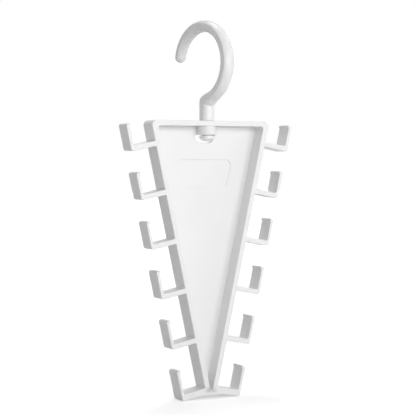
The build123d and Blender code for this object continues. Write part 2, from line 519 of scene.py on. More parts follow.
class NodeGraph:
    """Small helper that adds nodes to a tree and links them by value."""

    def __init__(self, tree: bpy.types.NodeTree) -> None:
        """Starts with an empty tree.

        Args:
            tree: The tree that is filled.
        """
        self.tree = tree
        self.tree.nodes.clear()

    def add(
        self, kind: str, inputs: dict[str | int, object] | None = None, **settings: object
    ) -> bpy.types.Node:
        """Adds one node.

        Args:
            kind: The node's type name.
            inputs: Values or output sockets for its inputs, by name or index.
            **settings: Values of the node's own properties.

        Returns:
            The node.
        """
        node = self.tree.nodes.new(kind)
        for name, value in settings.items():
            setattr(node, name, value)
        for key, value in (inputs or {}).items():
            if isinstance(value, Socket):
                self.tree.links.new(value, node.inputs[key])
            else:
                node.inputs[key].default_value = value
        return node

    def out(
        self,
        kind: str,
        inputs: dict[str | int, object] | None = None,
        output: str | int = 0,
        **settings: object,
    ) -> Socket:
        """Adds one node and gives one of its outputs.

        Args:
            kind: The node's type name.
            inputs: Values or output sockets for its inputs, by name or index.
            output: Which output, by name or index.
            **settings: Values of the node's own properties.

        Returns:
            The output's socket.
        """
        return self.add(kind, inputs, **settings).outputs[output]

    def math(self, operation: str, *values: Input) -> Socket:
        """Adds a math node and returns its result."""
        return self.out("ShaderNodeMath", dict(enumerate(values)), operation=operation)

    def product(self, first: Input, second: Input) -> Socket:
        """Multiplies two values."""
        return self.math("MULTIPLY", first, second)

    def ranged(
        self, value: Input, start: Input, end: Input, low: Input = 0.0, high: Input = 1.0
    ) -> Socket:
        """Adds a node that maps a value from one range to another and keeps it there.

        Args:
            value: The value that is mapped.
            start: Result at the low end.
            end: Result at the high end.
            low: Low end of the value's range.
            high: High end of that range.

        Returns:
            The result's socket.
        """
        names = ("Value", "From Min", "From Max", "To Min", "To Max")
        inputs = dict(zip(names, (value, low, high, start, end)))
        return self.out("ShaderNodeMapRange", inputs, "Result")

    def noise(self, place: Socket, scale: float, detail: float) -> Socket:
        """Adds a noise texture and returns its value."""
        inputs = {"Vector": place, "Scale": scale, "Detail": detail}
        return self.out("ShaderNodeTexNoise", inputs, "Fac")

    def bump(self, height: Socket, distance: float, below: Socket | None = None) -> Socket:
        """Adds a bump.

        Args:
            height: The pattern that stands up.
            distance: Height of its highest places.
            below: Normal of the bump that this one lies on, or none.

        Returns:
            The normal's socket.
        """
        inputs = {"Height": height, "Distance": distance, "Strength": 1.0}
        if below is not None:
            inputs["Normal"] = below
        return self.out("ShaderNodeBump", inputs, "Normal")

    def store(self, geometry: Socket, name: str, value: Socket) -> Socket:
        """Stores a value on every point of a geometry.

        Args:
            geometry: The geometry's socket.
            name: Name that the value is stored under.
            value: The value's socket.

        Returns:
            The socket of the geometry that carries the value.
        """
        inputs = {"Geometry": geometry, "Name": name, "Value": value}
        kind = "GeometryNodeStoreNamedAttribute"
        return self.out(kind, inputs, data_type="FLOAT", domain="POINT")

    def stored(self, name: str) -> Socket:
        """Reads a value that is stored under a name."""
        return self.out("GeometryNodeInputNamedAttribute", {"Name": name}, data_type="FLOAT")


def new_tree(name: str, sockets: dict[str, str]) -> bpy.types.NodeTree:
    """Makes a geometry node tree with a geometry input and named inputs.

    Args:
        name: Name of the tree.
        sockets: Type of each further input, by name.

    Returns:
        The tree, with no nodes yet.
    """
    tree = bpy.data.node_groups.new(name, "GeometryNodeTree")
    tree.interface.new_socket("Geometry", in_out="INPUT", socket_type="NodeSocketGeometry")
    for label, kind in sockets.items():
        tree.interface.new_socket(label, in_out="INPUT", socket_type=kind)
    tree.interface.new_socket("Geometry", in_out="OUTPUT", socket_type="NodeSocketGeometry")
    return tree


def set_inputs(modifier: bpy.types.NodesModifier, values: dict[str, object]) -> None:
    """Sets the named inputs of a geometry nodes modifier by their identifiers.

    Args:
        modifier: The modifier.
        values: Value of each input, by name.
    """
    for item in modifier.node_group.interface.items_tree:
        if item.item_type == "SOCKET" and item.in_out == "INPUT" and item.name in values:
            modifier[item.identifier] = values[item.name]


def close_tree(graph: NodeGraph, geometry: Socket, plastic: Socket) -> None:
    """Ends a tree with realized instances and its material.

    Args:
        graph: The graph to end.
        geometry: What it has made.
        plastic: The material's input.
    """
    real = graph.out("GeometryNodeRealizeInstances", {"Geometry": geometry})
    painted = graph.out("GeometryNodeSetMaterial", {"Geometry": real, "Material": plastic})
    graph.add("NodeGroupOutput", {"Geometry": painted})


@dataclass(frozen=True)
class MouldedPlastic:
    """White moulded plastic with a satin skin.

    Args:
        name: Name of the material and of the record's slot that it fills.
        colour: Base colour.
        shade_colour: Colour of the faint clouds in the resin.
        roughness: Roughness of the skin.
        roughness_swing: How much the roughness varies from place to place.
        grain_scale: Fineness of the mould's grain, in cells for each metre.
        grain_height: Height of that grain.
        grain_detail: Number of finer layers in the grain.
        ripple_scale: Fineness of the slow ripple that shrinkage leaves.
        ripple_height: Height of that ripple.
        ripple_detail: Number of finer layers in the ripple.
        cloud_range: Range of the noise over which the roughness swings.
        refraction: Index of refraction.
        glow: Share of the light that passes through the skin.
        glow_depth: How far that light travels.
    """

    name: str
    colour: tuple[float, float, float]
    shade_colour: tuple[float, float, float]
    roughness: float = 0.36
    roughness_swing: float = 0.06
    grain_scale: float = 2600.0
    grain_height: float = 0.012 * MM
    grain_detail: float = 2.0
    ripple_scale: float = 45.0
    ripple_height: float = 0.03 * MM
    ripple_detail: float = 3.0
    cloud_range: tuple[float, float] = (0.3, 0.7)
    refraction: float = 1.49
    glow: float = 0.5
    glow_depth: float = 2.0 * MM

    def build(self) -> bpy.types.Material:
        """Makes the material.

        Returns:
            A material that reads Object coordinates.
        """
        material = bpy.data.materials.new(self.name)
        material.use_nodes = True
        graph = NodeGraph(material.node_tree)
        place = graph.out("ShaderNodeTexCoord", output="Object")
        clouds = graph.noise(place, self.ripple_scale, self.ripple_detail)
        grain = graph.noise(place, self.grain_scale, self.grain_detail)
        colours = {"Factor": clouds, 6: (*self.colour, 1.0), 7: (*self.shade_colour, 1.0)}
        smoothest = self.roughness - self.roughness_swing
        roughest = self.roughness + self.roughness_swing
        ripple = graph.bump(clouds, self.ripple_height)
        surface = graph.out(
            "ShaderNodeBsdfPrincipled",
            {
                "Base Color": graph.out("ShaderNodeMix", colours, 2, data_type="RGBA"),
                "Roughness": graph.ranged(clouds, smoothest, roughest, *self.cloud_range),
                "IOR": self.refraction,
                "Normal": graph.bump(grain, self.grain_height, ripple),
                "Subsurface Weight": self.glow,
                "Subsurface Scale": self.glow_depth,
                "Subsurface Radius": (1.0, 1.0, 1.0),
            },
        )
        graph.add("ShaderNodeOutputMaterial", {"Surface": surface})
        return material


@dataclass(frozen=True)
class TrayForm:
    """Sizes of the tray without its tie hooks, in metres.

    Args:
        front_y: Front face of the rim.
        back_y: Back face of the web.
        rim_top_z: Top of the rim.
        half_width: Half width over the walls at the top.
        foot_half_width: Half width over the walls at the lowest row.
        wall: Thickness of the rim.
        web: Thickness of the web.
        corner_radius: Radius of the rim's top corners.
        pocket_corner_radius: Radius of the pocket's top corners.
        pocket_apex_radius: Radius at the foot of the pocket.
        edge: Radius of the moulded edges.
        floor_fillet: Fillet where the walls meet the web.
        boss_diameter: Diameter of the swivel boss.
        boss_height: Height of the boss under the rim.
        bore_diameter: Diameter of the bore through rim and boss.
        window_width: Width of the window behind the swivel's head.
        window_height: Height of that window.
        window_radius: Radius of its lower corners.
        label_drop: Drop of the label recess below the rim's top.
        label_height: Height of the recess.
        label_half_width: Half width of its top edge.
        label_radius: Radius of its corners.
        label_depth: Depth of the recess.
    """

    front_y: float
    back_y: float
    rim_top_z: float
    half_width: float = 50.4 * MM
    foot_half_width: float = 4.66 * MM
    wall: float = 4.1 * MM
    web: float = 4.2 * MM
    corner_radius: float = 3.8 * MM
    pocket_corner_radius: float = 2.2 * MM
    pocket_apex_radius: float = 0.9 * MM
    edge: float = 0.45 * MM
    floor_fillet: float = 0.7 * MM
    boss_diameter: float = 14.6 * MM
    boss_height: float = 6.6 * MM
    bore_diameter: float = 8.16 * MM
    window_width: float = 16.8 * MM
    window_height: float = 5.8 * MM
    window_radius: float = 5.0 * MM
    label_drop: float = 29.4 * MM
    label_height: float = 21.0 * MM
    label_half_width: float = 23.5 * MM
    label_radius: float = 4.2 * MM
    label_depth: float = 0.5 * MM


@dataclass(frozen=True)
class TieHookForm:
    """Sizes of the tie hooks, in metres.

    Args:
        rows: Number of tie hooks down each side.
        first_drop: Drop of the first arm's root below the rim's top.
        pitch: Distance between the first two rows.
        pitch_growth: What each further pitch gains.
        arm_length: Length of an arm's underside.
        droop: Angle of the arm below level.
        arm_thickness: Thickness of an arm.
        upright_thickness: Thickness of an upright.
        upright_rise: Height of the first upright's tip above its arm's root.
        rise_growth: What that height gains from row to row.
        depth: Depth of a tie hook, from the front.
        elbow_radius: Radius outside the elbow.
        inner_elbow_radius: Radius inside the elbow.
        tip_radius: Radius of the tip's outer corner.
        lip_overhang: How far the lip stands in from the upright.
        lip_height: Height of the lip.
        root_radius: Fillet where an arm leaves the wall.
        edge: Radius of the moulded edges.
        foot_drop: How far the foot's corners stand below the lowest elbows.
        foot_arch: Rise of the arch under the foot.
    """

    rows: int = 6
    first_drop: float = 19.3 * MM
    pitch: float = 36.2 * MM
    pitch_growth: float = 0.6 * MM
    arm_length: float = 20.4 * MM
    droop: float = math.radians(11.4)
    arm_thickness: float = 3.9 * MM
    upright_thickness: float = 2.3 * MM
    upright_rise: float = 16.0 * MM
    rise_growth: float = 0.4 * MM
    depth: float = 14.3 * MM
    elbow_radius: float = 1.9 * MM
    inner_elbow_radius: float = 1.2 * MM
    tip_radius: float = 1.6 * MM
    lip_overhang: float = 0.8 * MM
    lip_height: float = 1.5 * MM
    root_radius: float = 0.7 * MM
    edge: float = 0.35 * MM
    foot_drop: float = 1.2 * MM
    foot_arch: float = 3.4 * MM

    def drop(self, row: int) -> float:
        """Returns the drop of a row's arms below the rim's top."""
        return self.first_drop + row * self.pitch + row * (row - 1) / 2 * self.pitch_growth


@dataclass
class Tray:
    """The moulded tray: rim, walls, web, boss and tie hooks in one piece.

    Args:
        form: Sizes of the tray.
        hooks: Sizes of its tie hooks.
        finish: The plastic it is moulded in.
    """

    form: TrayForm
    hooks: TieHookForm
    finish: bpy.types.Material

    @property
    def slope(self) -> float:
        """How far a wall leans outwards for each unit of height."""
        drop = self.hooks.drop(self.hooks.rows - 1)
        return (self.form.half_width - self.form.foot_half_width) / drop

    @property
    def lean(self) -> float:
        """Angle of the walls from upright."""
        return math.atan(self.slope)

    @property
    def wall_way(self) -> Vector:
        """Unit direction up the outside of a right wall."""
        return Vector((math.sin(self.lean), math.cos(self.lean)))

    @property
    def arm_way(self) -> Vector:
        """Unit direction out along a right arm."""
        return Vector((math.cos(self.hooks.droop), -math.sin(self.hooks.droop)))

    @property
    def web_y(self) -> float:
        """Place of the web's front face."""
        return self.form.back_y - self.form.web

    @property
    def boss_foot_z(self) -> float:
        """Height of the boss's underside."""
        return self.form.rim_top_z - self.form.wall - self.form.boss_height

    @property
    def hook_stations(self) -> list[Station]:
        """Rings of the tie hooks, which are less deep than the tray."""
        back_y = self.form.front_y + self.hooks.depth
        return plate_stations(self.form.front_y, back_y, self.hooks.edge)

    def wall_x(self, z: float) -> float:
        """Returns the half width over the walls at a height."""
        return self.form.half_width - (self.form.rim_top_z - z) * self.slope

    def row_z(self, row: int) -> float:
        """Returns the height at which a row's arms leave the wall."""
        return self.form.rim_top_z - self.hooks.drop(row)

    def arm_point(self, row: int, along: float, above: float) -> Point2:
        """Finds a point on a right arm.

        Args:
            row: The row, from the top.
            along: Distance from the wall along the arm's underside.
            above: Distance square to the underside.

        Returns:
            The point's x and z.
        """
        droop = self.hooks.droop
        z = self.row_z(row)
        return (
            self.wall_x(z) + along * math.cos(droop) + above * math.sin(droop),
            z - along * math.sin(droop) + above * math.cos(droop),
        )

    def upright_point(self, row: int, inwards: float, up: float) -> Point2:
        """Finds a point on a right upright.

        Args:
            row: The row, from the top.
            inwards: Distance in from its outer face.
            up: Distance up from the elbow along that face.

        Returns:
            The point's x and z.
        """
        x, z = self.arm_point(row, self.hooks.arm_length, 0)
        return (
            x + up * math.sin(self.lean) - inwards * math.cos(self.lean),
            z + up * math.cos(self.lean) + inwards * math.sin(self.lean),
        )

    def upright_length(self, row: int) -> float:
        """Works out the length of an upright's outer face.

        Args:
            row: The row, from the top.

        Returns:
            The length from the elbow to the tip.
        """
        rise = self.hooks.upright_rise + row * self.hooks.rise_growth
        below = self.hooks.arm_length * math.sin(self.hooks.droop)
        return (rise + below) / math.cos(self.lean)

    def inner_elbow(self, row: int) -> Point2:
        """Finds the corner between the top of an arm and the inside of its upright.

        Args:
            row: The row, from the top.

        Returns:
            The corner's x and z on the right side.
        """
        start = Vector(self.arm_point(row, 0, self.hooks.arm_thickness))
        foot = Vector(self.upright_point(row, self.hooks.upright_thickness, 0))
        arm, up = self.arm_way, self.wall_way
        gap = foot - start
        reach = (gap.x * up.y - gap.y * up.x) / (arm.x * up.y - arm.y * up.x)
        return tuple(start + arm * reach)

    def root(self, row: int, above: float, side: float) -> list[Corner]:
        """Lists the corners where an arm's upper or lower side runs out on the wall.

        Args:
            row: The row, from the top.
            above: Distance of the side above the arm's underside.
            side: Minus one for the underside, plus one for the upper side.

        Returns:
            The filleted corner and the place where the fillet ends, then a point in the wall.
        """
        back = above * math.tan(self.lean - self.hooks.droop)
        corner = Vector(self.arm_point(row, back, above))
        along_wall = self.wall_way * side
        opening = math.acos(along_wall.dot(self.arm_way))
        reach = self.hooks.root_radius / math.tan(opening / 2)
        end = corner + along_wall * reach
        inside = end - Vector((self.form.wall / 2, 0))
        fillet = rounded(tuple(corner), self.hooks.root_radius)
        return [fillet, sharp(tuple(end)), sharp(tuple(inside))]

    def upright_corners(self, row: int) -> list[Corner]:
        """Lists the corners of a right upright with its lip.

        Args:
            row: The row, from the top.

        Returns:
            The corners, from the tip's outer side round to the inner elbow.
        """
        hooks, top = self.hooks, self.upright_length(row)
        inner = hooks.upright_thickness
        lip, lip_foot = inner + hooks.lip_overhang, top - hooks.lip_height
        return [
            rounded(self.upright_point(row, 0, top), hooks.tip_radius),
            rounded(self.upright_point(row, lip, top), hooks.edge),
            rounded(self.upright_point(row, lip, lip_foot), hooks.edge),
            sharp(self.upright_point(row, inner, lip_foot - hooks.lip_overhang)),
            rounded(self.inner_elbow(row), hooks.inner_elbow_radius),
        ]

    def tie_hook_outline(self, row: int) -> Outline:
        """Draws one right tie hook.

        Args:
            row: The row, from the top.

        Returns:
            The outline, anticlockwise from its lower root.
        """
        lower = list(reversed(self.root(row, 0, -1.0)))
        elbow = rounded(self.arm_point(row, self.hooks.arm_length, 0), self.hooks.elbow_radius)
        upper = self.root(row, self.hooks.arm_thickness, 1.0)
        return Outline(tuple(lower + [elbow] + self.upright_corners(row) + upper))

    def foot_outline(self) -> Outline:
        """Draws the lowest pair of tie hooks and the arched foot that joins them.

        Returns:
            The outline, anticlockwise from the right foot.
        """
        last = self.hooks.rows - 1
        corner = self.upright_point(last, 0, -self.hooks.foot_drop)
        right = [rounded(corner, self.hooks.elbow_radius)] + self.upright_corners(last)
        right += self.root(last, self.hooks.arm_thickness, 1.0)
        left = [replace(item, x=-item.x) for item in reversed(right)]
        arch = arc_over(-corner[0], corner[1], corner[1] + self.hooks.foot_arch, ARCH_STEPS)
        return Outline((*right, *left, *(sharp(point) for point in arch[1:-1])))

    def plate(self) -> bpy.types.Object:
        """Makes the tray's thick plate.

        Returns:
            The plate, with rounded edges on both faces.
        """
        form = self.form
        foot_z = self.row_z(self.hooks.rows - 1)
        foot, top = (self.wall_x(foot_z), foot_z), (form.half_width, form.rim_top_z)
        outline = trapezium(foot, top, 0, form.corner_radius)
        return stacked("tray", outline, plate_stations(form.front_y, form.back_y, form.edge))

    def pocket_tool(self) -> bpy.types.Object:
        """Makes the tool that cuts the three-sided pocket.

        Returns:
            The tool, which leaves a rounded mouth and a filleted floor.
        """
        form = self.form
        side = form.wall / math.cos(self.lean)
        top_z = form.rim_top_z - form.wall
        half = self.wall_x(top_z) - side
        apex_z = form.rim_top_z - (form.half_width - side) / self.slope
        outline = Outline(
            (
                rounded((0, apex_z), form.pocket_apex_radius),
                rounded((half, top_z), form.pocket_corner_radius),
                rounded((-half, top_z), form.pocket_corner_radius),
            )
        )
        stations = recess_stations(form.front_y, self.web_y, form.edge, form.floor_fillet)
        return stacked("pocket", outline, stations)

    def window_tool(self) -> bpy.types.Object:
        """Makes the tool that cuts the window through the web round the swivel's head.

        Returns:
            The tool, which leaves rounded edges on both faces of the web.
        """
        form = self.form
        half, foot_z = form.window_width / 2, self.boss_foot_z - form.window_height
        outline = trapezium((half, foot_z), (half, self.boss_foot_z), form.window_radius, 0)
        return stacked("window", outline, opening_stations(self.web_y, form.back_y, form.edge / 2))

    def label_tool(self) -> bpy.types.Object:
        """Makes the tool that cuts the shallow label recess, which stays bare.

        Returns:
            The tool, with a soft edge and floor.
        """
        form = self.form
        top_z = form.rim_top_z - form.label_drop
        foot_z = top_z - form.label_height
        foot_half = form.label_half_width - form.label_height * self.slope
        radius, soft = form.label_radius, form.label_depth / 2
        outline = trapezium((foot_half, foot_z), (form.label_half_width, top_z), radius, radius)
        stations = recess_stations(self.web_y, self.web_y + form.label_depth, soft, soft)
        return stacked("label", outline, stations)

    def boss(self) -> bpy.types.Object:
        """Makes the swivel boss.

        Returns:
            The boss, which runs up into the rim and back into the web.
        """
        form = self.form
        radius, top_z = form.boss_diameter / 2, form.rim_top_z - form.wall / 2
        foot = [
            (radius - inset, self.boss_foot_z + depth)
            for inset, depth in quarter_round(form.edge)
        ]
        return turned("boss", [*foot, (radius, top_z)], BOSS_SIDES)

    def bore_tool(self) -> bpy.types.Object:
        """Makes the tool that bores the boss and the rim.

        Returns:
            The tool, which runs past both ends of the bore.
        """
        radius = self.form.bore_diameter / 2
        levels = (self.boss_foot_z - OVERRUN, self.form.rim_top_z + OVERRUN)
        return turned("bore", [(radius, z) for z in levels], BORE_SIDES)

    def tie_hooks(self) -> bpy.types.Object:
        """Makes the rows of tie hooks above the foot, on both sides.

        Returns:
            One mesh with every tie hook as a closed shell.
        """
        hooks = self.hooks
        piece = stacked("tie_hooks", self.tie_hook_outline(0), self.hook_stations)
        self.mark_stretch(piece)
        modifier = piece.modifiers.new("rows", "NODES")
        modifier.node_group = self.row_tree()
        values = {
            "Rows": hooks.rows - 1,
            "Pitch": hooks.pitch,
            "Pitch Growth": hooks.pitch_growth,
            "Rise Growth": hooks.rise_growth,
            "Wall Slope": self.slope,
            "Plastic": self.finish,
        }
        set_inputs(modifier, values)
        take_mesh(piece)
        return piece

    def mark_stretch(self, piece: bpy.types.Object) -> None:
        """Marks the points of a tie hook that rise with the upright, as an attribute.

        Args:
            piece: The first row's right tie hook.
        """
        elbow_x, elbow_z = self.inner_elbow(0)
        middle_z = elbow_z + self.hooks.upright_rise / 2
        attribute = piece.data.attributes.new("stretch", "FLOAT", "POINT")
        for index, vertex in enumerate(piece.data.vertices):
            rises = vertex.co.z > middle_z and vertex.co.x > elbow_x
            attribute.data[index].value = 1.0 if rises else 0.0

    @staticmethod
    def row_tree() -> bpy.types.NodeTree:
        """Builds the node tree that repeats a tie hook down the wall and mirrors the rows.

        Returns:
            The tree, with its sizes as named inputs.
        """
        tree = new_tree(
            "tie_hook_rows",
            {
                "Rows": "NodeSocketInt",
                "Pitch": "NodeSocketFloat",
                "Pitch Growth": "NodeSocketFloat",
                "Rise Growth": "NodeSocketFloat",
                "Wall Slope": "NodeSocketFloat",
                "Plastic": "NodeSocketMaterial",
            },
        )
        graph = NodeGraph(tree)
        given = graph.add("NodeGroupInput").outputs
        row = graph.out("GeometryNodeInputIndex")
        before = graph.product(row, graph.math("SUBTRACT", row, 1.0))
        gained = graph.product(graph.product(before, 0.5), given["Pitch Growth"])
        drop = graph.math("ADD", graph.product(row, given["Pitch"]), gained)
        inwards = graph.product(drop, given["Wall Slope"])
        shift = {"X": graph.product(inwards, -1.0), "Z": graph.product(drop, -1.0)}
        place = graph.out("ShaderNodeCombineXYZ", shift)
        points = graph.out("GeometryNodePoints", {"Count": given["Rows"], "Position": place})
        numbered = graph.store(points, "row", row)
        copying = {"Points": numbered, "Instance": given["Geometry"]}
        copies = graph.out("GeometryNodeInstanceOnPoints", copying)
        real = graph.out("GeometryNodeRealizeInstances", {"Geometry": copies})
        share = graph.product(graph.stored("row"), graph.stored("stretch"))
        rise = graph.product(share, given["Rise Growth"])
        sideways = graph.product(rise, given["Wall Slope"])
        lift = graph.out("ShaderNodeCombineXYZ", {"X": sideways, "Z": rise})
        raised = graph.out("GeometryNodeSetPosition", {"Geometry": real, "Offset": lift})
        mirroring = {"Geometry": raised, "Scale": (-1.0, 1.0, 1.0)}
        mirrored = graph.out("GeometryNodeTransform", mirroring)
        outwards = graph.out("GeometryNodeFlipFaces", {"Mesh": mirrored})
        both = graph.add("GeometryNodeJoinGeometry")
        for half in (raised, outwards):
            tree.links.new(half, both.inputs[0])
        close_tree(graph, both.outputs[0], given["Plastic"])
        return tree

    def build(self) -> bpy.types.Object:
        """Builds the whole moulding.

        Returns:
            The tray as one closed mesh.
        """
        tray = self.plate()
        combine(tray, self.tie_hooks(), Operation.JOIN)
        foot = stacked("foot", self.foot_outline(), self.hook_stations)
        combine(tray, foot, Operation.JOIN)
        combine(tray, self.pocket_tool(), Operation.CUT)
        combine(tray, self.boss(), Operation.JOIN)
        for tool in (self.window_tool(), self.label_tool(), self.bore_tool()):
            combine(tray, tool, Operation.CUT)
        tray.name = "moulded_tray"
        tray.data.name = tray.name
        shade(tray)
        dress(tray, self.finish)
        return tray


@dataclass(frozen=True)
class RodHookForm:
    """Sizes of the swivelling rod hook, in metres.

    Args:
        rod_radius: Radius of the ring's inside over the crest.
        thickness: Thickness of the hook in its own plane, over the crest.
        width: Width of the hook across that plane, over the crest.
        tip_thickness: Thickness at the tip.
        tip_width: Width at the tip.
        crown_rise: Rise of the crowned outer face.
        inside_rise: Rise of the rounded inside.
        side_taper: What each side draws in towards the crown.
        crease_radius: Radius of the edge between crown and side.
        inner_crease_radius: Radius of the edge between side and inside.
        overhang: How far the ring's centre stands off the swivel's axis.
        tip_angle: Where the ring starts, about its centre.
        full_angle: Where the ring reaches its full size.
        arc_end: How far below level the ring runs out into the straight run.
        bend_fillet: Radius of the corner inside the bend.
        stem_diameter: Diameter of the stem.
        turn: Turn of the hook's plane from the tray's.
        neck_diameter: Diameter of the swivel neck.
        head_diameter: Diameter of the head.
        head_rim: Height of the head's rim.
        head_height: Height of the head.
        shoulder_gap: Gap between the stem's shoulder and the tray's rim.
        edge: Radius of the turned edges.
    """

    rod_radius: float = 23.5 * MM
    thickness: float = 9.0 * MM
    width: float = 10.3 * MM
    tip_thickness: float = 7.8 * MM
    tip_width: float = 8.7 * MM
    crown_rise: float = 2.3 * MM
    inside_rise: float = 3.1 * MM
    side_taper: float = 0.3 * MM
    crease_radius: float = 0.5 * MM
    inner_crease_radius: float = 0.9 * MM
    overhang: float = 4.5 * MM
    tip_angle: float = math.radians(167.2)
    full_angle: float = math.radians(105.0)
    arc_end: float = math.radians(61.6)
    bend_fillet: float = 1.0 * MM
    stem_diameter: float = 11.4 * MM
    turn: float = math.radians(77.8)
    neck_diameter: float = 8.0 * MM
    head_diameter: float = 11.6 * MM
    head_rim: float = 1.5 * MM
    head_height: float = 4.1 * MM
    shoulder_gap: float = 0.1 * MM
    edge: float = 0.35 * MM


@dataclass
class RodHook:
    """The rod hook: tip, ring over the rod, straight run, bend, stem and the swivel's head.

    Args:
        form: Sizes of the hook.
        shoulder_z: Height of the stem's shoulder on the tray.
        head_top_z: Height of the head's upper face.
        finish: The plastic it is moulded in.
    """

    form: RodHookForm
    shoulder_z: float
    head_top_z: float
    finish: bpy.types.Material

    @property
    def plane(self) -> Matrix:
        """The hook's upright plane, whose columns lead away from the tip, up and square to it."""
        turn = self.form.turn
        away = Vector((math.cos(turn), -math.sin(turn), 0))
        out = Vector((-math.sin(turn), -math.cos(turn), 0))
        return Matrix((away, Vector((0, 0, 1)), out)).transposed()

    def ring_point(self, angle: float) -> Vector:
        """Finds a point of the ring's centre line in the hook's plane.

        Args:
            angle: Direction of the point from the ring's centre.

        Returns:
            The point, across and up.
        """
        rod, off = self.form.rod_radius, self.form.overhang
        centre = Vector((-off, -math.sqrt(rod**2 - off**2)))
        return centre + compass(angle)[0] * (rod + self.form.thickness / 2)

    def section(self, thickness: float, width: float) -> list[Point2]:
        """Draws the hook's section with its crown upwards.

        Args:
            thickness: Height of the section.
            width: Width of the section.

        Returns:
            The points of the closed section, anticlockwise from the crown's right edge.
        """
        form = self.form
        half = thickness / 2
        crown = arc_over(width / 2 - form.side_taper, half - form.crown_rise, half, CROWN_STEPS)
        inside = arc_over(-width / 2, form.inside_rise - half, -half, INSIDE_STEPS)
        corners = []
        for arc, radius in ((crown, form.crease_radius), (inside, form.inner_crease_radius)):
            flat = [sharp(point) for point in arc[1:-1]]
            corners += [rounded(arc[0], radius), *flat, rounded(arc[-1], radius)]
        return Outline(tuple(corners)).loop()

    def swept_ring(self, tip: Sequence[Point2], full: Sequence[Point2]) -> bpy.types.Mesh:
        """Sweeps the section over the rod with a node tree.

        Args:
            tip: The section at the tip.
            full: The section over the crest.

        Returns:
            An open tube, its points in rings from the tip to the straight run.
        """
        form = self.form
        sweep = form.tip_angle + form.arc_end
        angles = [form.tip_angle - sweep * step / RING_STEPS for step in range(RING_STEPS + 1)]
        points = [self.plane @ self.ring_point(angle).to_3d() for angle in angles]
        path = poly_curve("ring_path", points, cyclic=False)
        sections = [
            poly_curve(name, [Vector((p, -q, 0)) for p, q in section])
            for name, section in (("tip_section", tip), ("full_section", full))
        ]
        modifier = path.modifiers.new("sweep", "NODES")
        modifier.node_group = self.sweep_tree()
        values = {
            "Tip Section": sections[0],
            "Full Section": sections[1],
            "Taper Share": (form.tip_angle - form.full_angle) / sweep,
            "Plane Normal": tuple(self.plane.col[2]),
            "Plastic": self.finish,
        }
        set_inputs(modifier, values)
        graph = bpy.context.evaluated_depsgraph_get()
        mesh = bpy.data.meshes.new_from_object(path.evaluated_get(graph), depsgraph=graph)
        for used in (path, *sections):
            bpy.data.objects.remove(used)
        return mesh

    @staticmethod
    def sweep_tree() -> bpy.types.NodeTree:
        """Builds the node tree that sweeps the section and lets it grow from the tip.

        Returns:
            The tree, with its sections and sizes as named inputs.
        """
        tree = new_tree(
            "hook_sweep",
            {
                "Tip Section": "NodeSocketObject",
                "Full Section": "NodeSocketObject",
                "Taper Share": "NodeSocketFloat",
                "Plane Normal": "NodeSocketVector",
                "Plastic": "NodeSocketMaterial",
            },
        )
        graph = NodeGraph(tree)
        given = graph.add("NodeGroupInput").outputs
        along = graph.out("GeometryNodeSplineParameter", output="Factor")
        fullness = graph.ranged(along, 0.0, 1.0, high=given["Taper Share"])
        path = graph.store(given["Geometry"], "fullness", fullness)
        facing = {"Curve": path, "Normal": given["Plane Normal"]}
        steady = graph.out("GeometryNodeSetCurveNormal", facing, mode="FREE")
        sweeps = []
        for name in ("Tip Section", "Full Section"):
            section = graph.out("GeometryNodeObjectInfo", {"Object": given[name]}, "Geometry")
            inputs = {"Curve": steady, "Profile Curve": section, "Fill Caps": False}
            sweeps.append(graph.out("GeometryNodeCurveToMesh", inputs))
        small, large = sweeps
        here = graph.out("GeometryNodeInputPosition")
        index = graph.out("GeometryNodeInputIndex")
        sampling = {"Geometry": large, "Value": here, "Index": index}
        there = graph.out("GeometryNodeSampleIndex", sampling, data_type="FLOAT_VECTOR")
        mixing = {"Factor": graph.stored("fullness"), 4: here, 5: there}
        between = graph.out("ShaderNodeMix", mixing, 1, data_type="VECTOR")
        grown = graph.out("GeometryNodeSetPosition", {"Geometry": small, "Position": between})
        close_tree(graph, grown, given["Plastic"])
        return tree

    def tip_strips(
        self, work: bmesh.types.BMesh, section: Sequence[Point2], rim: Sequence[bmesh.types.BMVert]
    ) -> list[list[bmesh.types.BMVert]]:
        """Turns half of the tip's section half round, which closes the tip.

        Args:
            work: The mesh that gets the points.
            section: The section at the tip.
            rim: The swept ring's own points round the tip, one for each of the section's.

        Returns:
            Strips from the inside to the crown, from one side of the hook to the other.
        """
        right = [index for index, (p, _) in enumerate(section) if p > -MERGE_DISTANCE]
        left = [index for index, (p, _) in enumerate(section) if p < MERGE_DISTANCE]
        right.sort(key=lambda index: math.atan2(section[index][1], section[index][0]))
        left.sort(key=lambda index: math.atan2(section[index][1], -section[index][0]))
        tip = self.ring_point(self.form.tip_angle)
        side, onward = compass(self.form.tip_angle)
        strips = [[rim[index] for index in right]]
        for step in range(1, TIP_STEPS):
            angle = math.pi * step / TIP_STEPS
            strip = [rim[right[0]]]
            for p, q in (section[index] for index in right[1:-1]):
                place = tip + side * q + onward * (p * math.sin(angle))
                strip.append(work.verts.new(self.plane @ Vector((*place, p * math.cos(angle)))))
            strips.append(strip + [rim[right[-1]]])
        return strips + [[rim[index] for index in left]]

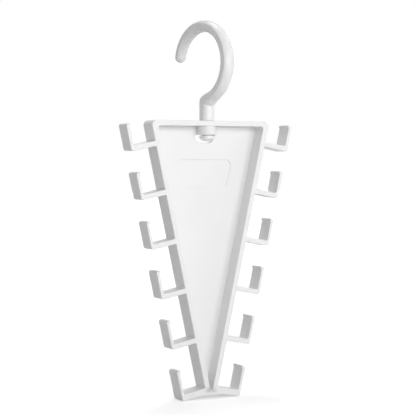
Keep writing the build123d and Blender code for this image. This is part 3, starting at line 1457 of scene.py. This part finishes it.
    def lower_rings(self, full: Sequence[Point2]) -> list[list[Vector]]:
        """Lists the rings of the straight run, the bend, the stem, the neck and the head.

        Each point of the section follows its own filleted corner at the bend, so that the outside
        of the bend is a ball of the stem's own radius and the inside stays tight.

        Args:
            full: The section at the end of the ring.

        Returns:
            The rings from the first after the ring's end down to the foot of the head.
        """
        form = self.form
        heading = -form.arc_end - math.pi / 2
        way, side = compass(heading)
        start = self.ring_point(-form.arc_end)
        length = -start.x / way.x
        bend = start + way * length
        slant = math.tan(form.arc_end / 2)
        stem = form.stem_diameter / 2
        circle = [Vector(point).normalized() * stem for point in full]
        fillets = [
            (form.bend_fillet - q + math.sqrt(q**2 + form.bend_fillet**2)) / 2 for _, q in circle
        ]
        rings = []
        for step in range(1, RUN_STEPS + 1):
            share = step / RUN_STEPS
            roundness = share**2 * (3 - 2 * share)
            ring = []
            for drawn, turned_round, fillet in zip(full, circle, fillets):
                p, q = Vector(drawn).lerp(turned_round, roundness)
                reach = (length - (turned_round.y + fillet) * slant) * share
                ring.append(Vector((*(start + way * reach + side * q), p)))
            rings.append(ring)
        for step in range(1, BEND_STEPS + 1):
            side_here = compass(heading + form.arc_end * step / BEND_STEPS)[1]
            ring = []
            for (p, q), fillet in zip(circle, fillets):
                pivot = bend + side * (q + fillet) - way * ((q + fillet) * slant)
                ring.append(Vector((*(pivot - side_here * fillet), p)))
            rings.append(ring)
        for z, radius in self.turned_rings():
            rings.append([Vector((q * radius / stem, z, p * radius / stem)) for p, q in circle])
        return [[self.plane @ point for point in ring] for ring in rings]

    def turned_rings(self) -> list[tuple[float, float]]:
        """Lists the rings of the stem's shoulder, the swivel neck and the domed head.

        Returns:
            Height and radius of each ring.
        """
        form = self.form
        stem, neck, head = form.stem_diameter / 2, form.neck_diameter / 2, form.head_diameter / 2
        rings = [
            (self.shoulder_z + depth, stem - inset)
            for inset, depth in reversed(quarter_round(form.edge))
        ]
        rings += [(self.shoulder_z, neck), (self.head_top_z, neck)]
        rings += [
            (self.head_top_z - depth, head - inset) for inset, depth in quarter_round(form.edge)
        ]
        rim_z = self.head_top_z - form.head_rim
        dome = form.head_height - form.head_rim
        for step in range(DOME_STEPS + 1):
            angle = math.pi / 2 * step / DOME_STEPS
            radius = max(head * math.cos(angle), SMALLEST_RADIUS)
            rings.append((rim_z - dome * math.sin(angle), radius))
        return rings

    def build(self) -> bpy.types.Object:
        """Builds the hook.

        Returns:
            The hook as one closed mesh.
        """
        form = self.form
        tip = self.section(form.tip_thickness, form.tip_width)
        full = self.section(form.thickness, form.width)
        work = bmesh.new()
        work.from_mesh(self.swept_ring(tip, full))
        swept = list(work.verts)
        add_skin(work, self.tip_strips(work, tip, swept[: len(tip)]), closed=False)
        rings = [[work.verts.new(point) for point in ring] for ring in self.lower_rings(full)]
        add_skin(work, [swept[-len(full) :], *rings], closed=True)
        hook = piece_from(work, "swivelling_hook")
        shade(hook)
        dress(hook, self.finish)
        return hook


@dataclass(frozen=True)
class Lamp:
    """Soft rectangular lamp of the studio.

    Args:
        name: Name of the lamp.
        azimuth: Direction it shines from, about the object, with the front at zero.
        elevation: Height of that direction above level.
        distance: Distance from the object.
        width: Length of its level sides.
        height: Length of its other sides.
        power: Power in watts.
    """

    name: str
    azimuth: float
    elevation: float
    distance: float
    width: float
    height: float
    power: float

    def build(self, target: Vector) -> None:
        """Sets the lamp up so that it faces the object.

        Args:
            target: The object's middle.
        """
        data = bpy.data.lights.new(self.name, "AREA")
        data.shape = "RECTANGLE"
        data.size = self.width
        data.size_y = self.height
        data.energy = self.power
        lamp = linked(self.name, data)
        azimuth, elevation = math.radians(self.azimuth), math.radians(self.elevation)
        level = math.cos(elevation)
        away = Vector(
            (math.sin(azimuth) * level, -math.cos(azimuth) * level, math.sin(elevation))
        )
        lamp.location = target + away * self.distance
        lamp.rotation_euler = away.to_track_quat("Z", "Y").to_euler()


@dataclass(frozen=True)
class Studio:
    """White studio with a pale floor, soft lamps and the photograph's camera.

    Args:
        lamps: The lamps.
        horizon_light: Level of the light that comes from all round at eye height.
        zenith_light: Level of the light that comes from straight above.
        floor_size: Length of the floor's side.
        floor_colour: Colour that the floor throws back on the object.
        floor_seen: Colour that the camera sees on it, under the shadow.
        floor_lift: Light added to the floor round the object, so that the camera sees it white.
        floor_near: Distance from the object at which that light starts to rise to full white.
        floor_far: Distance at which it is full white.
        camera_place: Where the camera stands.
        camera_azimuth: Turn of its view from the tray's front.
        camera_tilt: How far it looks down.
        lens: Focal length in millimetres.
        sensor: Width of the sensor in millimetres.
    """

    lamps: tuple[Lamp, ...]
    horizon_light: float = 0.3
    zenith_light: float = 0.4
    floor_size: float = 12.0
    floor_colour: float = 0.6
    floor_seen: float = 0.95
    floor_lift: float = 0.37
    floor_near: float = 0.2
    floor_far: float = 2.2
    camera_place: tuple[float, float, float] = (-0.4622, -0.8816, -0.09608)
    camera_azimuth: float = 27.715
    camera_tilt: float = 2.127
    lens: float = 113.25
    sensor: float = 36.0

    def build_camera(self) -> None:
        """Sets the camera up where the photograph was taken from."""
        data = bpy.data.cameras.new("photo_camera")
        data.lens = self.lens
        data.sensor_width = self.sensor
        camera = linked("photo_camera", data)
        camera.location = self.camera_place
        camera.rotation_euler = (
            math.radians(90 - self.camera_tilt),
            0.0,
            -math.radians(self.camera_azimuth),
        )
        bpy.context.scene.camera = camera

    @staticmethod
    def seen_rays(graph: NodeGraph) -> Socket:
        """Tells the rays that show the background from those that light the object.

        Args:
            graph: The graph of the floor's or the sky's material.

        Returns:
            One for camera, mirror and glass rays, and zero for the rest.
        """
        rays = graph.add("ShaderNodeLightPath").outputs
        mirrored = graph.math("MAXIMUM", rays["Is Camera Ray"], rays["Is Glossy Ray"])
        return graph.math("MAXIMUM", mirrored, rays["Is Transmission Ray"])

    def build_sky(self) -> None:
        """Makes the surroundings: white to the eye, and a soft level of light on the object."""
        world = bpy.data.worlds.new("studio")
        world.use_nodes = True
        graph = NodeGraph(world.node_tree)
        seen = self.seen_rays(graph)
        towards = graph.out("ShaderNodeTexCoord", output="Generated")
        height = graph.out("ShaderNodeSeparateXYZ", {"Vector": towards}, "Z")
        level = graph.ranged(height, self.horizon_light, self.zenith_light)
        strength = graph.ranged(seen, level, 1.0)
        glow = {"Color": (1.0, 1.0, 1.0, 1.0), "Strength": strength}
        graph.add("ShaderNodeOutputWorld", {"Surface": graph.out("ShaderNodeBackground", glow)})
        bpy.context.scene.world = world

    def build_floor(self, height: float) -> None:
        """Makes the pale floor, which keeps the object's shadow.

        Args:
            height: Height of the floor.
        """
        half = self.floor_size / 2
        mesh = bpy.data.meshes.new("floor")
        corners = [(x * half, y * half, height) for x, y in ((-1, -1), (1, -1), (1, 1), (-1, 1))]
        mesh.from_pydata(corners, [], [(0, 1, 2, 3)])
        floor = linked("floor", mesh)
        material = bpy.data.materials.new("floor")
        material.use_nodes = True
        graph = NodeGraph(material.node_tree)
        seen = self.seen_rays(graph)
        tone = graph.ranged(seen, self.floor_colour, self.floor_seen)
        matt = graph.out("ShaderNodeBsdfDiffuse", {"Color": tone})
        place = graph.out("ShaderNodeTexCoord", output="Object")
        away = graph.out("ShaderNodeVectorMath", {0: place}, "Value", operation="LENGTH")
        level = graph.ranged(away, self.floor_lift, 1.0, self.floor_near, self.floor_far)
        added = graph.out("ShaderNodeEmission", {"Strength": graph.product(seen, level)})
        both = graph.out("ShaderNodeAddShader", {0: matt, 1: added})
        graph.add("ShaderNodeOutputMaterial", {"Surface": both})
        mesh.materials.append(material)

    def build(self, target: Vector, floor_z: float) -> None:
        """Sets up the whole studio.

        Args:
            target: The point that the lamps face.
            floor_z: Height of the floor.
        """
        self.build_camera()
        self.build_sky()
        self.build_floor(floor_z)
        for lamp in self.lamps:
            lamp.build(target)
        bpy.context.scene.view_settings.view_transform = "Standard"


TRAY_PLASTIC = MouldedPlastic("tray_plastic", (0.86, 0.86, 0.857), (0.845, 0.845, 0.842))
HOOK_PLASTIC = MouldedPlastic(
    "hook_plastic", (0.86, 0.86, 0.857), (0.85, 0.85, 0.847), roughness=0.3, grain_height=0.008 * MM
)
STUDIO = Studio(
    lamps=(
        Lamp("key", azimuth=3.0, elevation=11.0, distance=1.8, width=1.9, height=0.9, power=20.4),
        Lamp("side", azimuth=58.0, elevation=14.0, distance=1.4, width=0.6, height=0.6, power=1.7),
        Lamp("top", azimuth=168.0, elevation=76.0, distance=1.3, width=0.4, height=0.4, power=4.0),
    )
)


def report(piece: bpy.types.Object) -> None:
    """Logs a finished piece.

    Args:
        piece: The piece.
    """
    log.info("%s: %d faces", piece.name, len(piece.data.polygons))


def main() -> None:
    """Builds the hanger's two mouldings and the studio."""
    low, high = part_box("hanger_body")
    form = TrayForm(front_y=low.y, back_y=high.y, rim_top_z=high.z)
    tray = Tray(form, TieHookForm(), TRAY_PLASTIC.build())
    moulding = tray.build()
    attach(moulding, "tray")
    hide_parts("hanger_body")
    report(moulding)

    hook_form = RodHookForm()
    hook_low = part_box("swivel_hook")[0]
    hook = RodHook(
        hook_form,
        shoulder_z=form.rim_top_z + hook_form.shoulder_gap,
        head_top_z=hook_low.z + hook_form.head_height,
        finish=HOOK_PLASTIC.build(),
    )
    swivelling = hook.build()
    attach(swivelling, "hook")
    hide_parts("swivel_hook")
    report(swivelling)

    middle = (cad_box[0] + cad_box[1]) / 2
    STUDIO.build(target=middle, floor_z=cad_box[0].z)


if __name__ == "__main__":
    main()
